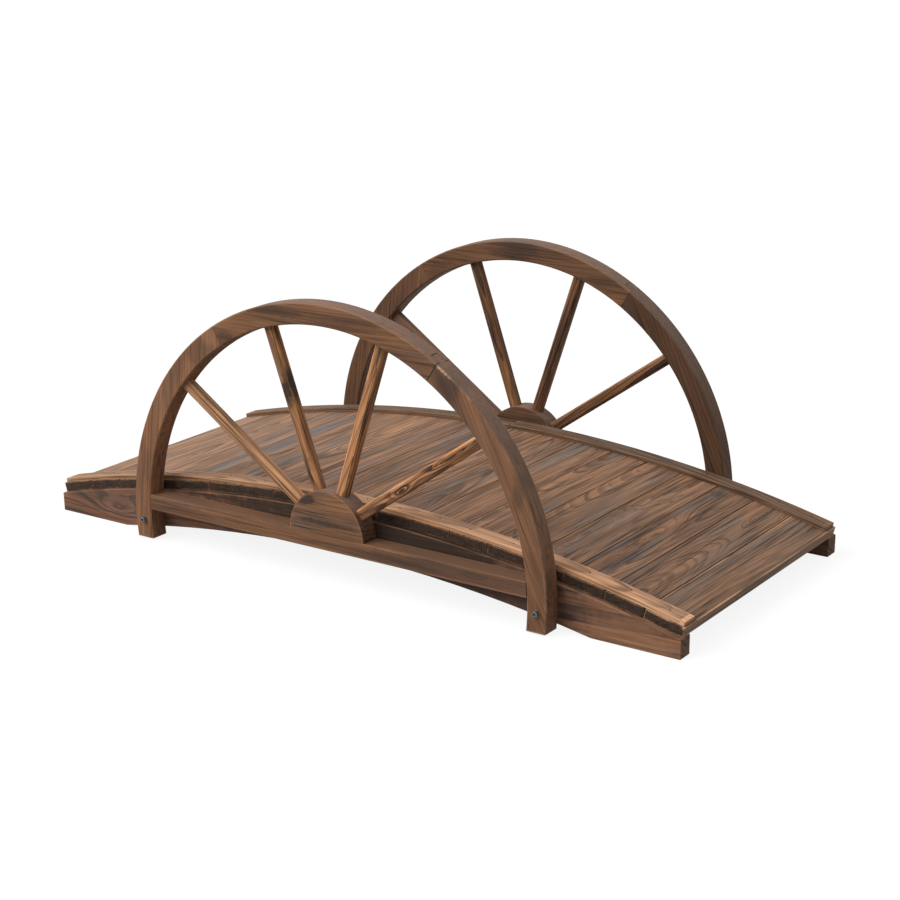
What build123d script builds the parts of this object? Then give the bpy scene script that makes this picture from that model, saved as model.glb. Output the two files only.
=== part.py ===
"""Wooden garden bridge: an arched plank deck between two half wheels.

Millimetres, Z up. X runs along the bridge and Y across it. The origin is the
middle of the footprint, on the ground.
"""
import os
from math import asin, cos, degrees, radians, sin, tan

from build123d import *

os.makedirs("parts", exist_ok=True)

# Two arched side beams, standing on a flat foot at each end
BEAM_LENGTH = 1320.0
FRAME_WIDTH = 576.0
BEAM_THICKNESS = 30.0
FOOT_LENGTH = 161.0
ARCH_CLEARANCE = 46.5

# Deck of flat boards laid round an arc, given by its height in two places
CROWN_HEIGHT = 133.5
DECK_END_HEIGHT = 51.3
DECK_OVERHANG = 3.0
BOARD_COUNT = 18
BOARD_THICKNESS = 17.0
BOARD_GAP = 2.0
BOARD_END_INSET = 8.0

# Thin edge strips bent over the boards, two lengths to a side
STRIP_WIDTH = 32.5
STRIP_THICKNESS = 8.0
STRIP_INSET = 3.0
STRIP_END_SETBACK = 3.0
STRIP_JOINT_GAP = 1.0

# Half wheel: rim of three pieces, straight rail, half round hub
RIM_OUTER_RADIUS = 438.5
RIM_DEPTH = 37.0
RIM_CENTRE_HEIGHT = 45.5
WHEEL_THICKNESS = 36.5
RIM_EDGE_CHAMFER = 2.0
LEG_CLEARANCE = 3.5
JOINT_ANGLE = 58.0
TONGUE_ANGLE = 2.5
TONGUE_THICKNESS = 16.0
RAIL_BOTTOM = 60.0
RAIL_HEIGHT = 27.0
HUB_RADIUS = 78.0

# Spokes, square in section with well rounded edges
SPOKE_WIDTH = 21.0
SPOKE_THICKNESS = 19.0
SPOKE_EDGE_ROUND = 6.0
LOW_SPOKE_ANGLE = 35.0
HIGH_SPOKE_ANGLE = 71.3

# Sizes that follow from the ones above
HALF_LENGTH = BEAM_LENGTH / 2
HALF_FRAME = FRAME_WIDTH / 2
DECK_RISE = CROWN_HEIGHT - DECK_END_HEIGHT
DECK_RADIUS = (HALF_LENGTH**2 + DECK_RISE**2) / (2 * DECK_RISE)
DECK_CENTRE = CROWN_HEIGHT - DECK_RADIUS
HALF_DECK_ANGLE = degrees(asin((HALF_LENGTH + DECK_OVERHANG) / DECK_RADIUS))
BOARD_STEP = 2 * HALF_DECK_ANGLE / BOARD_COUNT
BOARD_WIDTH = 2 * DECK_RADIUS * tan(radians(BOARD_STEP / 2)) - BOARD_GAP
BOARD_LENGTH = FRAME_WIDTH - 2 * BOARD_END_INSET
SEAT_RADIUS = DECK_RADIUS - BOARD_THICKNESS
RIM_INNER_RADIUS = RIM_OUTER_RADIUS - RIM_DEPTH
RAIL_TOP = RAIL_BOTTOM + RAIL_HEIGHT


def save(builder, name):
    """Labels one solid and writes it out."""
    builder.part.label = name
    export_step(builder.part, f"parts/{name}.step")


def deck_point(radius, angle):
    """Point in the X, Z plane at an angle from the crown of the deck arc."""
    return (radius * sin(radians(angle)), DECK_CENTRE + radius * cos(radians(angle)))


def on_flat(radius, board_angle, x):
    """Point at x on the flat that touches the arc at a board's middle."""
    rise = (radius - x * sin(radians(board_angle))) / cos(radians(board_angle))
    return (x, DECK_CENTRE + rise)


def board_angle(index):
    """Angle of a board's middle, counted from the left end."""
    return -HALF_DECK_ANGLE + BOARD_STEP * (index + 0.5)


def inner_offset(side):
    """Offset of Plane.XZ for a wheel; extruding goes towards the front."""
    if side == "front":
        return HALF_FRAME
    return -HALF_FRAME - WHEEL_THICKNESS


def wheel_middle(side):
    """Y of the middle of a wheel's thickness."""
    return -inner_offset(side) - WHEEL_THICKNESS / 2


# Side beams: the top is cut in flats so that every board sits face to face
seat_points = [on_flat(SEAT_RADIUS, board_angle(0), -HALF_LENGTH)]
corner_radius = SEAT_RADIUS / cos(radians(BOARD_STEP / 2))
for index in range(1, BOARD_COUNT):
    ray = -HALF_DECK_ANGLE + BOARD_STEP * index
    seat_points.append(deck_point(corner_radius, ray))
seat_points.append(on_flat(SEAT_RADIUS, board_angle(BOARD_COUNT - 1), HALF_LENGTH))

foot_inner = HALF_LENGTH - FOOT_LENGTH
for side, offset in (("front", HALF_FRAME - BEAM_THICKNESS), ("back", -HALF_FRAME)):
    with BuildPart() as beam:
        with BuildSketch(Plane.XZ.offset(offset)):
            with BuildLine():
                Polyline(*seat_points)
                Line(seat_points[-1], (HALF_LENGTH, 0))
                Line((HALF_LENGTH, 0), (foot_inner, 0))
                ThreePointArc((foot_inner, 0), (0, ARCH_CLEARANCE), (-foot_inner, 0))
                Line((-foot_inner, 0), (-HALF_LENGTH, 0))
                Line((-HALF_LENGTH, 0), seat_points[0])
            make_face()
        extrude(amount=BEAM_THICKNESS)
    save(beam, f"beam_{side}")

# Deck boards, numbered from the left end
for index in range(BOARD_COUNT):
    angle = board_angle(index)
    x, z = deck_point(DECK_RADIUS - BOARD_THICKNESS / 2, angle)
    along = (cos(radians(angle)), 0, -sin(radians(angle)))
    up = (sin(radians(angle)), 0, cos(radians(angle)))
    with BuildPart(Plane(origin=(x, 0, z), x_dir=along, z_dir=up)) as board:
        Box(BOARD_WIDTH, BOARD_LENGTH, BOARD_THICKNESS)
    save(board, f"board_{index + 1:02d}")

# Edge strips: flat under each board's top, a plain arc above
top_radius = DECK_RADIUS + STRIP_THICKNESS
end_angle = degrees(asin((HALF_LENGTH + DECK_OVERHANG - STRIP_END_SETBACK) / top_radius))
last_board = board_angle(BOARD_COUNT - 1)
first_board = board_angle(BOARD_COUNT // 2)
under_points = [on_flat(DECK_RADIUS, first_board, STRIP_JOINT_GAP / 2)]
fold_radius = DECK_RADIUS / cos(radians(BOARD_STEP / 2))
for index in range(1, BOARD_COUNT // 2):
    under_points.append(deck_point(fold_radius, BOARD_STEP * index))
under_points.append(deck_point(DECK_RADIUS / cos(radians(end_angle - last_board)), end_angle))
joint_angle = degrees(asin(STRIP_JOINT_GAP / 2 / top_radius))
top_start = deck_point(top_radius, joint_angle)
top_middle = deck_point(top_radius, (joint_angle + end_angle) / 2)
top_end = deck_point(top_radius, end_angle)
strip_outer = BOARD_LENGTH / 2 - STRIP_INSET

for side, offset in (("front", strip_outer - STRIP_WIDTH), ("back", -strip_outer)):
    with BuildPart() as strip:
        with BuildSketch(Plane.XZ.offset(offset)):
            with BuildLine():
                Polyline(*under_points)
                Line(under_points[-1], top_end)
                ThreePointArc(top_end, top_middle, top_start)
                Line(top_start, under_points[0])
            make_face()
        extrude(amount=STRIP_WIDTH)
    save(strip, f"strip_{side}_right")
    with BuildPart() as mirrored_strip:
        add(mirror(strip.part, about=Plane.YZ))
    save(mirrored_strip, f"strip_{side}_left")


def rim_plane(angle):
    """Plane through the wheel's axis, local X pointing out along the angle."""
    outward = (cos(radians(angle)), 0, sin(radians(angle)))
    ahead = (-sin(radians(angle)), 0, cos(radians(angle)))
    return Plane(origin=(0, 0, RIM_CENTRE_HEIGHT), x_dir=outward, z_dir=ahead)


# Turning about this axis sweeps from the right hand leg up over the top
wheel_axis = Axis((0, 0, RIM_CENTRE_HEIGHT), (0, -1, 0))
rim_middle = RIM_OUTER_RADIUS - RIM_DEPTH / 2
leg_start = -degrees(asin(RIM_CENTRE_HEIGHT / RIM_INNER_RADIUS)) - 2

for side in ("front", "back"):
    middle = wheel_middle(side)
    with BuildPart() as leg:
        with BuildSketch(rim_plane(leg_start)):
            with Locations((rim_middle, middle)):
                section = Rectangle(RIM_DEPTH, WHEEL_THICKNESS)
            chamfer(section.vertices(), RIM_EDGE_CHAMFER)
        revolve(axis=wheel_axis, revolution_arc=JOINT_ANGLE - leg_start)
        with BuildSketch(rim_plane(JOINT_ANGLE)):
            with Locations((rim_middle, middle)):
                Rectangle(RIM_DEPTH, TONGUE_THICKNESS)
        revolve(axis=wheel_axis, revolution_arc=TONGUE_ANGLE)
        with Locations((rim_middle, middle, LEG_CLEARANCE - RIM_CENTRE_HEIGHT)):
            Box(3 * RIM_DEPTH, 2 * WHEEL_THICKNESS, 2 * RIM_CENTRE_HEIGHT, mode=Mode.SUBTRACT)
    save(leg, f"rim_{side}_right")
    with BuildPart() as mirrored_leg:
        add(mirror(leg.part, about=Plane.YZ))
    save(mirrored_leg, f"rim_{side}_left")

    with BuildPart() as rim_top:
        with BuildSketch(rim_plane(JOINT_ANGLE)):
            with Locations((rim_middle, middle)):
                section = Rectangle(RIM_DEPTH, WHEEL_THICKNESS)
            chamfer(section.vertices(), RIM_EDGE_CHAMFER)
        revolve(axis=wheel_axis, revolution_arc=180 - 2 * JOINT_ANGLE)
        for slot_start in (JOINT_ANGLE, 180 - JOINT_ANGLE - TONGUE_ANGLE):
            with BuildSketch(rim_plane(slot_start)):
                with Locations((rim_middle, middle)):
                    Rectangle(RIM_DEPTH + 2, TONGUE_THICKNESS)
            revolve(axis=wheel_axis, revolution_arc=TONGUE_ANGLE, mode=Mode.SUBTRACT)
    save(rim_top, f"rim_{side}_top")

    wheel_face = Plane.XZ.offset(inner_offset(side))
    with BuildPart() as rail:
        with BuildSketch(wheel_face):
            with Locations((0, RIM_CENTRE_HEIGHT)):
                Circle(RIM_INNER_RADIUS)
            with Locations((0, RAIL_BOTTOM + RAIL_HEIGHT / 2)):
                Rectangle(2 * RIM_OUTER_RADIUS, RAIL_HEIGHT, mode=Mode.INTERSECT)
        extrude(amount=WHEEL_THICKNESS)
    save(rail, f"rail_{side}")

    with BuildPart() as hub:
        with BuildSketch(wheel_face):
            with Locations((0, RAIL_TOP)):
                Circle(HUB_RADIUS)
            with Locations((0, RAIL_TOP + HUB_RADIUS)):
                Rectangle(2 * HUB_RADIUS, 2 * HUB_RADIUS, mode=Mode.INTERSECT)
        extrude(amount=WHEEL_THICKNESS)
    save(hub, f"hub_{side}")

    spoke_angles = (
        180 - LOW_SPOKE_ANGLE,
        180 - HIGH_SPOKE_ANGLE,
        HIGH_SPOKE_ANGLE,
        LOW_SPOKE_ANGLE,
    )
    for number, angle in enumerate(spoke_angles, start=1):
        outward = (cos(radians(angle)), 0, sin(radians(angle)))
        hub_centre = (0, middle, RAIL_TOP)
        with BuildPart() as spoke:
            with BuildSketch(Plane(origin=hub_centre, x_dir=(0, 1, 0), z_dir=outward)):
                RectangleRounded(SPOKE_THICKNESS, SPOKE_WIDTH, SPOKE_EDGE_ROUND)
            extrude(amount=RIM_OUTER_RADIUS)
            with BuildSketch(wheel_face):
                with Locations((0, RAIL_TOP)):
                    Circle(HUB_RADIUS)
            extrude(amount=WHEEL_THICKNESS, mode=Mode.SUBTRACT)
            with BuildSketch(wheel_face):
                with Locations((0, RIM_CENTRE_HEIGHT)):
                    Circle(RIM_INNER_RADIUS)
            extrude(amount=WHEEL_THICKNESS, mode=Mode.INTERSECT)
        save(spoke, f"spoke_{side}_{number}")
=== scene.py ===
"""Looks of the wooden garden bridge: wood finishes, eased edges, bolts and nails.

Metres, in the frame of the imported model: X along the bridge, Y across it, Z up.
"""
import random
from math import cos, hypot, pi, radians, sin

import bmesh
import bpy
from mathutils import Matrix, Vector


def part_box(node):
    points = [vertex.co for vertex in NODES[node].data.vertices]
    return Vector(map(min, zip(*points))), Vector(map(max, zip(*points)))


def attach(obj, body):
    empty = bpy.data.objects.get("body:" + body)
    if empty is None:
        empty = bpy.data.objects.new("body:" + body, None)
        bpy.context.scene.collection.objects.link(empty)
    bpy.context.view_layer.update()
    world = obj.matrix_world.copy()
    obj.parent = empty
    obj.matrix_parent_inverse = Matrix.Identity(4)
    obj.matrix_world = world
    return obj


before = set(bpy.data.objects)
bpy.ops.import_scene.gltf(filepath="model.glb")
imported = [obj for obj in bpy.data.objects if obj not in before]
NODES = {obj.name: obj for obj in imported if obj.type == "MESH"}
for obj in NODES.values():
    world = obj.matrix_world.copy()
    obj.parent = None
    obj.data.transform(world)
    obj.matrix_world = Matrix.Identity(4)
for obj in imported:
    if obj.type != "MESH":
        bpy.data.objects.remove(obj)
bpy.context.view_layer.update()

SCENE = bpy.context.scene
X_AXIS = Vector((1, 0, 0))
Y_AXIS = Vector((0, 1, 0))
Z_AXIS = Vector((0, 0, 1))

# Camera: pose fitted to the photograph, in metres and radians
IMAGE_SIDE = 900
SENSOR_WIDTH = 36
FOCAL_PIXELS = 1937.7
CENTRE_RIGHT_PIXELS = 36
CENTRE_DOWN_PIXELS = 120
CAMERA_YAW = 0.5882
CAMERA_PITCH = 0.3614
CAMERA_ROLL = 0.0042
CAMERA_DISTANCE = 3.520
CAMERA_TARGET = Vector((0.1080, 0, -0.0556))

# Light: a large soft key from the upper left in front, a weak one from above, an even fill
KEY_TOWARDS = Vector((-0.52, -0.56, 0.66))
KEY_STRENGTH = 3.15
KEY_SPREAD = 0.9
TOP_TOWARDS = Vector((0.35, 0.25, 0.90))
TOP_STRENGTH = 0.75
TOP_SPREAD = 1.4
FILL_STRENGTH = 0.27
WHITE = (1, 1, 1, 1)

# Floor: how it lights the bridge, how its shadow shows and how white it looks
FLOOR_RADIUS = 9.0
FLOOR_STEPS = 96
FLOOR_COLOUR = 0.3
FLOOR_SHADOW = 0.14
FLOOR_GLOW = 0.88

# Eased edges, rounded by modifiers
EDGE_EASE = 0.0013
STRIP_EASE = 0.001
RIM_EASE = 0.0009
SPOKE_EASE = 0.0006
EASE_STEPS = 3
WELD_DISTANCE = 0.00002
SHARP_ANGLE = radians(25)

# Out of reach: where a piece has no face, or a mark no end
FAR = 1.0


def srgb(red, green, blue):
    """Linear colour of display values from 0 to 255."""
    shares = [value / 255 for value in (red, green, blue)]
    linear = [s / 12.92 if s <= 0.04045 else ((s + 0.055) / 1.055) ** 2.4 for s in shares]
    return (*linear, 1.0)


class Graph:
    """Adds shader nodes to a tree. A value is a number, a tuple or another node's output."""

    def __init__(self, tree):
        self.tree = tree

    def node(self, kind, **settings):
        made = self.tree.nodes.new("ShaderNode" + kind)
        for key, value in settings.items():
            setattr(made, key, value)
        return made

    def put(self, socket, value):
        if isinstance(value, bpy.types.NodeSocket):
            self.tree.links.new(value, socket)
        else:
            socket.default_value = value

    def put_all(self, node, values):
        """Puts values on a node's inputs, given by name or number."""
        for key, value in values.items():
            self.put(node.inputs[key], value)

    def math(self, operation, *values):
        made = self.node("Math", operation=operation)
        self.put_all(made, dict(enumerate(values)))
        return made.outputs[0]

    def swing(self, value, amount):
        """Factor that moves round 1 with a noise."""
        return self.math("MULTIPLY_ADD", value, amount, 1.0)

    def vector(self, operation, first, second=None, scale=None):
        made = self.node("VectorMath", operation=operation)
        self.put(made.inputs[0], first)
        if second is not None:
            self.put(made.inputs[1], second)
        if scale is not None:
            self.put(made.inputs["Scale"], scale)
        return made.outputs["Value" if operation in ("LENGTH", "DOT_PRODUCT") else "Vector"]

    def split(self, vector):
        made = self.node("SeparateXYZ")
        self.put(made.inputs[0], vector)
        return made.outputs

    def join(self, x, y, z):
        made = self.node("CombineXYZ")
        self.put_all(made, {0: x, 1: y, 2: z})
        return made.outputs[0]

    def noise(self, vector, stretch, detail=2.0, roughness=0.5, offset=(0, 0, 0)):
        """Noise from -0.5 to 0.5; stretch is in cycles a metre."""
        place = self.vector("MULTIPLY_ADD", vector, stretch)
        self.put(place.node.inputs[2], offset)
        made = self.node("TexNoise")
        inputs = {"Vector": place, "Scale": 1.0, "Detail": detail, "Roughness": roughness}
        self.put_all(made, inputs)
        return self.math("SUBTRACT", made.outputs[0], 0.5)

    def smooth(self, value, low, high):
        """Soft step from 0 at low to 1 at high."""
        made = self.node("MapRange", interpolation_type="SMOOTHSTEP")
        self.put_all(made, {"Value": value, "From Min": low, "From Max": high})
        return made.outputs["Result"]

    def mix(self, share, first, second):
        """Colour between two others."""
        made = self.node("Mix", data_type="RGBA")
        self.put_all(made, {0: share, 6: first, 7: second})
        return made.outputs[2]


def new_group(name, inputs, outputs):
    """Empty node group; inputs and outputs map names to Float, Vector or Color."""
    tree = bpy.data.node_groups.new(name, "ShaderNodeTree")
    for names, way in ((inputs, "INPUT"), (outputs, "OUTPUT")):
        for label, kind in names.items():
            tree.interface.new_socket(label, in_out=way, socket_type="NodeSocket" + kind)
    start = tree.nodes.new("NodeGroupInput")
    end = tree.nodes.new("NodeGroupOutput")
    return Graph(tree), start.outputs, end.inputs


WOOD_INPUTS = {
    "Place": "Vector",
    "Gaps": "Vector",
    "Shift": "Vector",
    "Pith": "Vector",
    "Lean": "Vector",
    "Axis": "Vector",
    "Ring Width": "Float",
    "Wander": "Float",
    "Knot Lift": "Float",
    "Knot": "Float",
    "Early": "Color",
    "Late": "Color",
    "Warm": "Color",
    "Dark": "Color",
    "Grey": "Color",
    "Worn": "Color",
    "End": "Color",
    "Rings": "Float",
    "Streaks": "Float",
    "Lines": "Float",
    "Warmth": "Float",
    "Smoke": "Float",
    "Greying": "Float",
    "Wear": "Float",
    "Wear Width": "Float",
    "End Share": "Float",
    # Share of the stain marks, painted shade among them
    "Stain": "Float",
    # Share of the chip marks, a painted highlight among them
    "Chip": "Float",
    # Painted light and shade on upper faces: its colour and its share
    "Pale": "Color",
    "Bleach": "Float",
    "Seam": "Float",
    "Seam Depth": "Float",
}


WOOD_OUTPUTS = {"Color": "Color", "Roughness": "Float", "Height": "Float"}

# Noises of the wood: cycles a metre along, across and up, detail, roughness, offset
WOOD_NOISES = {
    "slow": ((2.3, 14, 14), 1),
    "quick": ((11, 90, 90), 1),
    "fibre": ((16, 430, 430), 2, 0.6),
    "line": ((5, 170, 170), 3, 0.62),
    "band": ((3.0, 44, 48), 3, 0.6),
    "crack": ((3.6, 240, 240), 2, 0.55, (11, 13, 29)),
    "scratch": ((7, 330, 330), 1, 0.5, (23, 7, 3)),
    "smoke": ((4.2, 24, 28), 3, 0.55, (7, 3, 1)),
    "tint": ((4.6, 34, 30), 3, 0.6, (3, 17, 23)),
    "grey": ((5.2, 40, 36), 2, 0.5, (31, 5, 9)),
    "ragged": ((30, 110, 110), 3),
    "patchy": ((9, 30, 30), 3, 0.5, (5, 5, 2)),
    "speck": ((200, 320, 320), 3, 0.7),
    "blotch": ((40, 60, 90), 2, 0.6, (2, 9, 4)),
}
KNOT_NOISE = ((40, 60, 60), 2)
SPOT_NOISE = ((60, 60, 60), 3, 0.6)

# Where each feature sets in and where it is full
RING_RISE = (0.38, 0.86)
RING_FALL = (0.93, 1.0)
WARM_RANGE = (-0.02, 0.16)
GREY_RANGE = (0.0, 0.22)
SMOKE_RANGE = (0.0, 0.24)
CRACK_RANGE = (0.07, 0.14)
SCRATCH_RANGE = (0.09, 0.17)
UPWARD_RANGE = (0.15, 0.8)
EDGE_RANGE = (0.4, 1.0)
PATCHY_RANGE = (-0.18, 0.1)
END_RANGE = (0.45, 0.95)
SEAM_RANGE = (0.0004, 0.0016)
KNOT_CORE_RANGE = (0.2, 0.42)
SPOT_RANGE = (0.35, 1.15)

# Rings: uneven widths in slow turns, and how faint the faintest is
UNEVEN_RINGS = 2.6
UNEVEN_PACE = 0.37
FAINTEST_RING = 0.3
QUICK_WANDER = 0.14

# Shares of the noises in each feature, and its middle and darkest tones
GREY_SLOW = 0.9
GREY_LINES = 0.3
SMOKE_LINES = 0.35
STREAK_BANDS = 1.7
STREAK_LINES = 2.2
STREAK_FIBRES = 1.2
GRAIN_TONE = 1.08
GRAIN_DARKEST = 0.2
STAIN_AND_SHADE_TONE_SWING = 1.2
STAIN_AND_SHADE_SWING = 1.6
TOP_SHADING_SWING = 1.2
REACH_SWING = 1.1
WORN_LINES = 0.9
WORN_FIBRES = 0.6
END_SPECKS = 3.0
END_BLOTCHES = 1.8
END_RINGS = -0.9
END_TONE = 1.15
END_DARKEST = 0.15
WORN_END = -0.45
KNOT_WOBBLE = 0.14
SPOT_RAGGED = 1.1


def late_wood(g, given, noise):
    """Dark late wood, 0 to 1: rings round a leaning pith line, with a slow wander."""
    along = g.split(given["Place"])[0]
    pith_line = g.vector("ADD", given["Pith"], g.vector("SCALE", given["Lean"], scale=along))
    flat = g.vector("MULTIPLY", given["Place"], (0, 1, 1))
    radius = g.vector("LENGTH", g.vector("SUBTRACT", flat, pith_line))
    wander = g.math("MULTIPLY_ADD", noise["quick"], QUICK_WANDER, noise["slow"])
    radius = g.math("MULTIPLY_ADD", wander, given["Wander"], radius)
    radius = g.math("ADD", radius, given["Knot Lift"])
    phase = g.math("DIVIDE", radius, given["Ring Width"])
    uneven = g.node("TexNoise", noise_dimensions="1D")
    g.put_all(uneven, {"W": g.math("MULTIPLY", phase, UNEVEN_PACE), "Scale": 1.0})
    phase = g.math("MULTIPLY_ADD", uneven.outputs[0], UNEVEN_RINGS, phase)
    turn = g.math("FRACT", phase)
    ring_dice = g.node("TexWhiteNoise", noise_dimensions="1D")
    g.put(ring_dice.inputs["W"], g.math("FLOOR", phase))
    depth = g.math("MULTIPLY_ADD", ring_dice.outputs[0], 1 - FAINTEST_RING, FAINTEST_RING)
    fall = g.math("SUBTRACT", 1.0, g.smooth(turn, *RING_FALL))
    return g.math("MULTIPLY", g.math("MULTIPLY", g.smooth(turn, *RING_RISE), fall), depth)


def long_grain(g, given, noise, late, normal):
    """Colour of long faces: rings, warm and grey parts, smoke, streaks, knots, stain marks with
    painted shade among them, and painted light and shade on upper faces.
    """
    line = noise["line"]
    rings = g.math("MULTIPLY", late, given["Rings"])
    colour = g.mix(rings, given["Early"], given["Late"])
    warm_share = g.math("MULTIPLY", g.smooth(noise["tint"], *WARM_RANGE), given["Warmth"])
    colour = g.mix(warm_share, colour, g.mix(rings, given["Warm"], given["Late"]))

    # Greying follows the loops of the rings, and breaks up in streaks
    grey = g.math("MULTIPLY_ADD", line, GREY_LINES, noise["grey"])
    grey = g.math("MULTIPLY_ADD", noise["slow"], GREY_SLOW, grey)
    grey_share = g.math("MULTIPLY", g.smooth(grey, *GREY_RANGE), given["Greying"])
    colour = g.mix(grey_share, colour, given["Grey"])
    smoke = g.math("MULTIPLY_ADD", line, SMOKE_LINES, noise["smoke"])
    smoke_share = g.math("MULTIPLY", g.smooth(smoke, *SMOKE_RANGE), given["Smoke"])
    colour = g.mix(smoke_share, colour, given["Dark"])

    fibres = g.math("MULTIPLY", noise["fibre"], STREAK_FIBRES)
    streak = g.math("MULTIPLY_ADD", line, STREAK_LINES, fibres)
    streak = g.math("MULTIPLY_ADD", noise["band"], STREAK_BANDS, streak)
    tone = g.math("MULTIPLY_ADD", streak, given["Streaks"], GRAIN_TONE)
    crack = g.smooth(noise["crack"], *CRACK_RANGE)
    scratch = g.smooth(noise["scratch"], *SCRATCH_RANGE)
    darker = g.math("MULTIPLY", given["Lines"], -1.0)
    tone = g.math("MULTIPLY_ADD", g.math("ADD", crack, scratch), darker, tone)
    colour = g.vector("SCALE", colour, scale=g.math("MAXIMUM", tone, GRAIN_DARKEST))

    colour = g.mix(given["Knot"], colour, given["Dark"])
    # Darker marks: real staining, and painted shade on the front beam
    stain_and_shade_colour = g.vector("SCALE", given["Dark"], scale=g.swing(line, STAIN_AND_SHADE_TONE_SWING))
    stain_and_shade_share = g.math("MULTIPLY", given["Stain"], g.swing(line, STAIN_AND_SHADE_SWING))
    colour = g.mix(stain_and_shade_share, colour, stain_and_shade_colour)

    # Painted light and shade on upper faces: paler on the wheels, darker on the front rail's top
    upward = g.smooth(g.split(normal)[2], *UPWARD_RANGE)
    top_shading = g.math("MULTIPLY", upward, g.swing(line, TOP_SHADING_SWING))
    return g.mix(g.math("MULTIPLY", top_shading, given["Bleach"]), colour, given["Pale"])


def worn_and_lit_edge(g, given, noise):
    """Worn arrises, 0 to 1, in patches, which also paint a highlight along the lit edges: an edge is
    close to two faces at once.
    """
    x, y, z = g.split(given["Gaps"])
    pairs = [g.math("ADD", x, y), g.math("ADD", y, z), g.math("ADD", x, z)]
    nearest = g.math("MINIMUM", g.math("MINIMUM", pairs[0], pairs[1]), pairs[2])
    reach = g.math("MULTIPLY", given["Wear Width"], g.swing(noise["ragged"], REACH_SWING))
    near_edge = g.math("DIVIDE", nearest, reach)
    inner = g.math("SUBTRACT", 1.0, g.smooth(near_edge, *EDGE_RANGE))
    return g.math("MULTIPLY", inner, g.smooth(noise["patchy"], *PATCHY_RANGE))


def end_share(g, given, edge, normal):
    """Share of end grain on a face, less along rubbed and lit edges and none in a chip mark, painted
    highlights among them.
    """
    facing = g.vector("DOT_PRODUCT", normal, given["Axis"])
    end = g.smooth(g.math("ABSOLUTE", facing), *END_RANGE)
    end = g.math("MULTIPLY", end, given["End Share"])
    end = g.math("MULTIPLY", end, g.swing(edge, WORN_END))
    return g.math("MULTIPLY", end, g.math("SUBTRACT", 1.0, given["Chip"]))


def end_grain(g, given, noise, late):
    """Colour of end grain: darker, with the rings still showing."""
    ringed = g.math("MULTIPLY_ADD", late, END_RINGS, END_TONE)
    tone = g.math("MULTIPLY_ADD", noise["speck"], END_SPECKS, ringed)
    tone = g.math("MULTIPLY_ADD", noise["blotch"], END_BLOTCHES, tone)
    return g.vector("SCALE", given["End"], scale=g.math("MAXIMUM", tone, END_DARKEST))


def make_wood_group():
    """Solid wood: long grain, arrises with wear and painted highlights, end grain and the dark line of
    a joint.
    """
    g, given, result = new_group("wood", WOOD_INPUTS, WOOD_OUTPUTS)
    seeded = g.vector("ADD", given["Place"], given["Shift"])
    noise = {name: g.noise(seeded, *row) for name, row in WOOD_NOISES.items()}
    line, fibre = noise["line"], noise["fibre"]
    normal = g.node("NewGeometry").outputs["Normal"]
    late = late_wood(g, given, noise)
    edge = worn_and_lit_edge(g, given, noise)
    colour = long_grain(g, given, noise, late, normal)

    # Arrises and chip marks take the light colour: wear, and painted highlight where eased edges catch
    # the light
    worn_and_lit = g.math("MAXIMUM", g.math("MULTIPLY", edge, given["Wear"]), given["Chip"])
    worn_and_lit_tone = g.math("MULTIPLY_ADD", line, WORN_LINES, g.swing(fibre, WORN_FIBRES))
    colour = g.mix(worn_and_lit, colour, g.vector("SCALE", given["Worn"], scale=worn_and_lit_tone))
    end = end_share(g, given, edge, normal)
    colour = g.mix(end, colour, end_grain(g, given, noise, late))

    # Dark line where two pieces of the rim meet
    seam = g.math("SUBTRACT", 1.0, g.smooth(given["Seam"], *SEAM_RANGE))
    seam = g.math("MULTIPLY", seam, given["Seam Depth"])
    colour = g.vector("SCALE", colour, scale=g.math("SUBTRACT", 1.0, seam))

    rough = g.math("MULTIPLY_ADD", line, 0.25, g.math("MULTIPLY_ADD", end, 0.15, 0.66))
    height = g.math("MULTIPLY_ADD", late, 0.6, line)
    height = g.math("MULTIPLY_ADD", fibre, 0.5, height)
    height = g.math("MULTIPLY_ADD", g.math("MULTIPLY", end, noise["speck"]), 4.0, height)
    g.put(result["Color"], colour)
    g.put(result["Roughness"], rough)
    g.put(result["Height"], height)
    return g.tree


def away_from(g, place, given, ragged, amount):
    """Distance from the middle of a mark in its own half sizes, with a ragged outline."""
    offset = g.vector("SUBTRACT", place, given["Centre"])
    away = g.vector("LENGTH", g.vector("DIVIDE", offset, given["Size"]))
    return g.math("MULTIPLY_ADD", ragged, amount, away)


def make_knot_group():
    """One knot: how far it lifts the rings round it, and how dark its core is."""
    inputs = {"Place": "Vector", "Centre": "Vector", "Size": "Vector", "Lift": "Float"}
    g, given, result = new_group("knot", inputs, {"Knot Lift": "Float", "Knot": "Float"})
    place = given["Place"]
    away = away_from(g, place, given, g.noise(place, *KNOT_NOISE), KNOT_WOBBLE)
    bell = g.math("EXPONENT", g.math("MULTIPLY", g.math("MULTIPLY", away, away), -1.0))
    g.put(result["Knot Lift"], g.math("MULTIPLY", bell, given["Lift"]))
    g.put(result["Knot"], g.math("SUBTRACT", 1.0, g.smooth(away, *KNOT_CORE_RANGE)))
    return g.tree


def make_spot_group():
    """Soft patch with a ragged outline, placed in the frame's own coordinates."""
    inputs = {"Here": "Vector", "Centre": "Vector", "Size": "Vector", "Share": "Float"}
    g, given, result = new_group("spot", inputs, {"Share": "Float"})
    here = given["Here"]
    away = away_from(g, here, given, g.noise(here, *SPOT_NOISE), SPOT_RAGGED)
    inner = g.math("SUBTRACT", 1.0, g.smooth(away, *SPOT_RANGE))
    g.put(result["Share"], g.math("MULTIPLY", inner, given["Share"]))
    return g.tree


WOOD = make_wood_group()
KNOT = make_knot_group()
SPOT = make_spot_group()

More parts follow.
